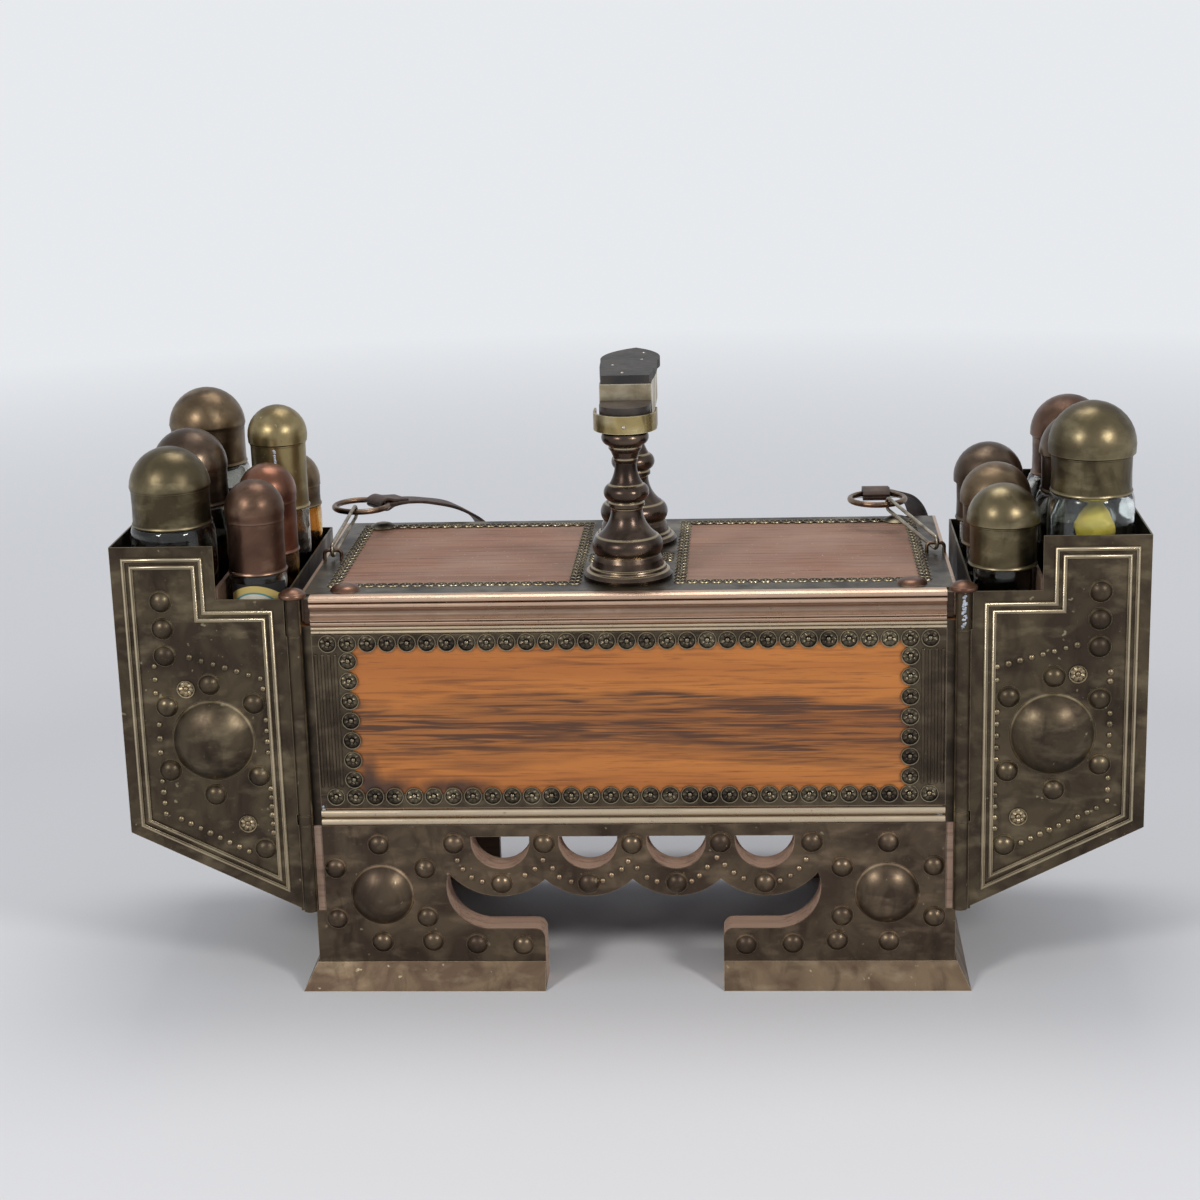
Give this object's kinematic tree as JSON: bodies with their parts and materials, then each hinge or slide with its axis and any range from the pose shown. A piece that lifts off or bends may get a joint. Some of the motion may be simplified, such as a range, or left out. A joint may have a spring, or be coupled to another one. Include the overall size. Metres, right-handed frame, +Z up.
{
  "type": "shoe shine box",
  "caption": "Brass-clad wooden shoe shine box with a hinged lid, a footrest on two turned posts, a carrying strap and two swing-out racks of capped bottles.",
  "frame": {"origin": "on the floor under the middle of the whole object", "axes": "+Z up, -Y towards the front with the pierced apron, +X to the right as seen from the front"},
  "size_m": [0.804, 0.328, 0.4875],
  "materials": {
    "walnut_panel": "varnished",
    "stained_board": "stained",
    "aged_brass": "antique, worn ridges",
    "dark_brass": "dark patina",
    "bright_brass": "rubbed",
    "cap_brass": "dull",
    "copper": "dull copper",
    "black_pad": "matt",
    "bright_wire": "satin",
    "brass_wire": "satin",
    "dark_leather": "worn",
    "dark_glass": "glossy",
    "clear_glass": "glossy"
  },
  "bodies": {
    "chest": {"front_board": "walnut_panel", "back_board": "stained_board", "left_end_board": "stained_board", "right_end_board": "stained_board", "floor_board": "stained_board", "apron_board": "stained_board", "apron_plate": "aged_brass", "plinth_strips": "aged_brass", "bead_mouldings": "aged_brass", "front_border": "aged_brass", "wing_eyelets": "aged_brass", "lid_hinge_lower_halves": "aged_brass"},
    "lid": {"lid_board": "stained_board", "lid_cornice": "aged_brass", "lid_walnut_panels": "walnut_panel", "lid_border_plates": "aged_brass", "lid_hinge_upper_halves": "aged_brass", "footrest_posts": "dark_brass", "heel_cup": "bright_brass", "heel_pad": "black_pad", "riser_block": "bright_brass", "sole_plate": "dark_brass", "strap_staples": "brass_wire"},
    "strap": {"strap_hooks": "bright_wire", "strap_rings": "brass_wire", "carrying_strap": "dark_leather"},
    "left_rack": {"left_rack_plate": "aged_brass", "left_rack_tray": "aged_brass", "left_rack_boards": "stained_board"},
    "left_pin": {"left_rack_pin": "dark_brass"},
    "right_rack": {"right_rack_plate": "aged_brass", "right_rack_tray": "aged_brass", "right_rack_boards": "stained_board"},
    "right_pin": {"right_rack_pin": "dark_brass"},
    "left_high_bottle_1": {"left_high_bottle_1": "dark_glass"},
    "left_high_bottle_2": {"left_high_bottle_2": "dark_glass"},
    "left_high_bottle_3": {"left_high_bottle_3": "dark_glass"},
    "left_low_bottle_1": {"left_low_bottle_1": "dark_glass"},
    "left_low_bottle_2": {"left_low_bottle_2": "dark_glass"},
    "left_low_bottle_3": {"left_low_bottle_3": "dark_glass"},
    "left_low_bottle_4": {"left_low_bottle_4": "dark_glass"},
    "right_high_bottle_1": {"right_high_bottle_1": "clear_glass"},
    "right_high_bottle_2": {"right_high_bottle_2": "dark_glass"},
    "right_high_bottle_3": {"right_high_bottle_3": "dark_glass"},
    "right_low_bottle_1": {"right_low_bottle_1": "dark_glass"},
    "right_low_bottle_2": {"right_low_bottle_2": "dark_glass"},
    "right_low_bottle_3": {"right_low_bottle_3": "dark_glass"},
    "left_high_cap_1": {"left_high_cap_1": "cap_brass"},
    "left_high_cap_2": {"left_high_cap_2": "cap_brass"},
    "left_high_cap_3": {"left_high_cap_3": "cap_brass"},
    "left_low_cap_1": {"left_low_cap_1": "copper"},
    "left_low_cap_2": {"left_low_cap_2": "copper"},
    "left_low_cap_3": {"left_low_cap_3": "cap_brass"},
    "left_low_cap_4": {"left_low_cap_4": "cap_brass"},
    "right_high_cap_1": {"right_high_cap_1": "cap_brass"},
    "right_high_cap_2": {"right_high_cap_2": "cap_brass"},
    "right_high_cap_3": {"right_high_cap_3": "copper"},
    "right_low_cap_1": {"right_low_cap_1": "cap_brass"},
    "right_low_cap_2": {"right_low_cap_2": "cap_brass"},
    "right_low_cap_3": {"right_low_cap_3": "cap_brass"}
  },
  "joints": [
    {"name": "lid_hinge", "type": "hinge", "parent": "chest", "child": "lid", "pos_m": [0, 0.1046, 0.30625], "axis": [-1, 0, 0], "range_deg": [0, 95]},
    {"name": "strap_swing", "type": "hinge", "parent": "lid", "child": "strap", "pos_m": [0, -0.028, 0.3385], "axis": [1, 0, 0], "range_deg": [0, 95]},
    {"name": "left_rack_swing", "type": "hinge", "parent": "chest", "child": "left_rack", "pos_m": [-0.26, -0.147, 0.2], "axis": [0, 0, 1], "range_deg": [0, 150]},
    {"name": "left_pin_pull", "type": "slide", "parent": "chest", "child": "left_pin", "axis": [0, 0, 1], "range_m": [0, 0.27]},
    {"name": "right_rack_swing", "type": "hinge", "parent": "chest", "child": "right_rack", "pos_m": [0.26, -0.147, 0.2], "axis": [0, 0, -1], "range_deg": [0, 150]},
    {"name": "right_pin_pull", "type": "slide", "parent": "chest", "child": "right_pin", "axis": [0, 0, 1], "range_m": [0, 0.27]},
    {"name": "left_high_bottle_1_lift", "type": "slide", "parent": "left_rack", "child": "left_high_bottle_1", "axis": [0, 0, 1], "range_m": [0, 0.17]},
    {"name": "left_high_bottle_2_lift", "type": "slide", "parent": "left_rack", "child": "left_high_bottle_2", "axis": [0, 0, 1], "range_m": [0, 0.17]},
    {"name": "left_high_bottle_3_lift", "type": "slide", "parent": "left_rack", "child": "left_high_bottle_3", "axis": [0, 0, 1], "range_m": [0, 0.17]},
    {"name": "left_low_bottle_1_lift", "type": "slide", "parent": "left_rack", "child": "left_low_bottle_1", "axis": [0, 0, 1], "range_m": [0, 0.17]},
    {"name": "left_low_bottle_2_lift", "type": "slide", "parent": "left_rack", "child": "left_low_bottle_2", "axis": [0, 0, 1], "range_m": [0, 0.17]},
    {"name": "left_low_bottle_3_lift", "type": "slide", "parent": "left_rack", "child": "left_low_bottle_3", "axis": [0, 0, 1], "range_m": [0, 0.17]},
    {"name": "left_low_bottle_4_lift", "type": "slide", "parent": "left_rack", "child": "left_low_bottle_4", "axis": [0, 0, 1], "range_m": [0, 0.17]},
    {"name": "right_high_bottle_1_lift", "type": "slide", "parent": "right_rack", "child": "right_high_bottle_1", "axis": [0, 0, 1], "range_m": [0, 0.17]},
    {"name": "right_high_bottle_2_lift", "type": "slide", "parent": "right_rack", "child": "right_high_bottle_2", "axis": [0, 0, 1], "range_m": [0, 0.17]},
    {"name": "right_high_bottle_3_lift", "type": "slide", "parent": "right_rack", "child": "right_high_bottle_3", "axis": [0, 0, 1], "range_m": [0, 0.17]},
    {"name": "right_low_bottle_1_lift", "type": "slide", "parent": "right_rack", "child": "right_low_bottle_1", "axis": [0, 0, 1], "range_m": [0, 0.17]},
    {"name": "right_low_bottle_2_lift", "type": "slide", "parent": "right_rack", "child": "right_low_bottle_2", "axis": [0, 0, 1], "range_m": [0, 0.17]},
    {"name": "right_low_bottle_3_lift", "type": "slide", "parent": "right_rack", "child": "right_low_bottle_3", "axis": [0, 0, 1], "range_m": [0, 0.17]},
    {"name": "left_high_cap_1_lift", "type": "slide", "parent": "left_high_bottle_1", "child": "left_high_cap_1", "axis": [0, 0, 1], "range_m": [0, 0.09]},
    {"name": "left_high_cap_2_lift", "type": "slide", "parent": "left_high_bottle_2", "child": "left_high_cap_2", "axis": [0, 0, 1], "range_m": [0, 0.09]},
    {"name": "left_high_cap_3_lift", "type": "slide", "parent": "left_high_bottle_3", "child": "left_high_cap_3", "axis": [0, 0, 1], "range_m": [0, 0.09]},
    {"name": "left_low_cap_1_lift", "type": "slide", "parent": "left_low_bottle_1", "child": "left_low_cap_1", "axis": [0, 0, 1], "range_m": [0, 0.09]},
    {"name": "left_low_cap_2_lift", "type": "slide", "parent": "left_low_bottle_2", "child": "left_low_cap_2", "axis": [0, 0, 1], "range_m": [0, 0.09]},
    {"name": "left_low_cap_3_lift", "type": "slide", "parent": "left_low_bottle_3", "child": "left_low_cap_3", "axis": [0, 0, 1], "range_m": [0, 0.09]},
    {"name": "left_low_cap_4_lift", "type": "slide", "parent": "left_low_bottle_4", "child": "left_low_cap_4", "axis": [0, 0, 1], "range_m": [0, 0.09]},
    {"name": "right_high_cap_1_lift", "type": "slide", "parent": "right_high_bottle_1", "child": "right_high_cap_1", "axis": [0, 0, 1], "range_m": [0, 0.09]},
    {"name": "right_high_cap_2_lift", "type": "slide", "parent": "right_high_bottle_2", "child": "right_high_cap_2", "axis": [0, 0, 1], "range_m": [0, 0.09]},
    {"name": "right_high_cap_3_lift", "type": "slide", "parent": "right_high_bottle_3", "child": "right_high_cap_3", "axis": [0, 0, 1], "range_m": [0, 0.09]},
    {"name": "right_low_cap_1_lift", "type": "slide", "parent": "right_low_bottle_1", "child": "right_low_cap_1", "axis": [0, 0, 1], "range_m": [0, 0.09]},
    {"name": "right_low_cap_2_lift", "type": "slide", "parent": "right_low_bottle_2", "child": "right_low_cap_2", "axis": [0, 0, 1], "range_m": [0, 0.09]},
    {"name": "right_low_cap_3_lift", "type": "slide", "parent": "right_low_bottle_3", "child": "right_low_cap_3", "axis": [0, 0, 1], "range_m": [0, 0.09]}
  ],
  "couplings": [
    {"joint": "strap_swing", "follows": "lid_hinge", "ratio": 1}
  ]
}
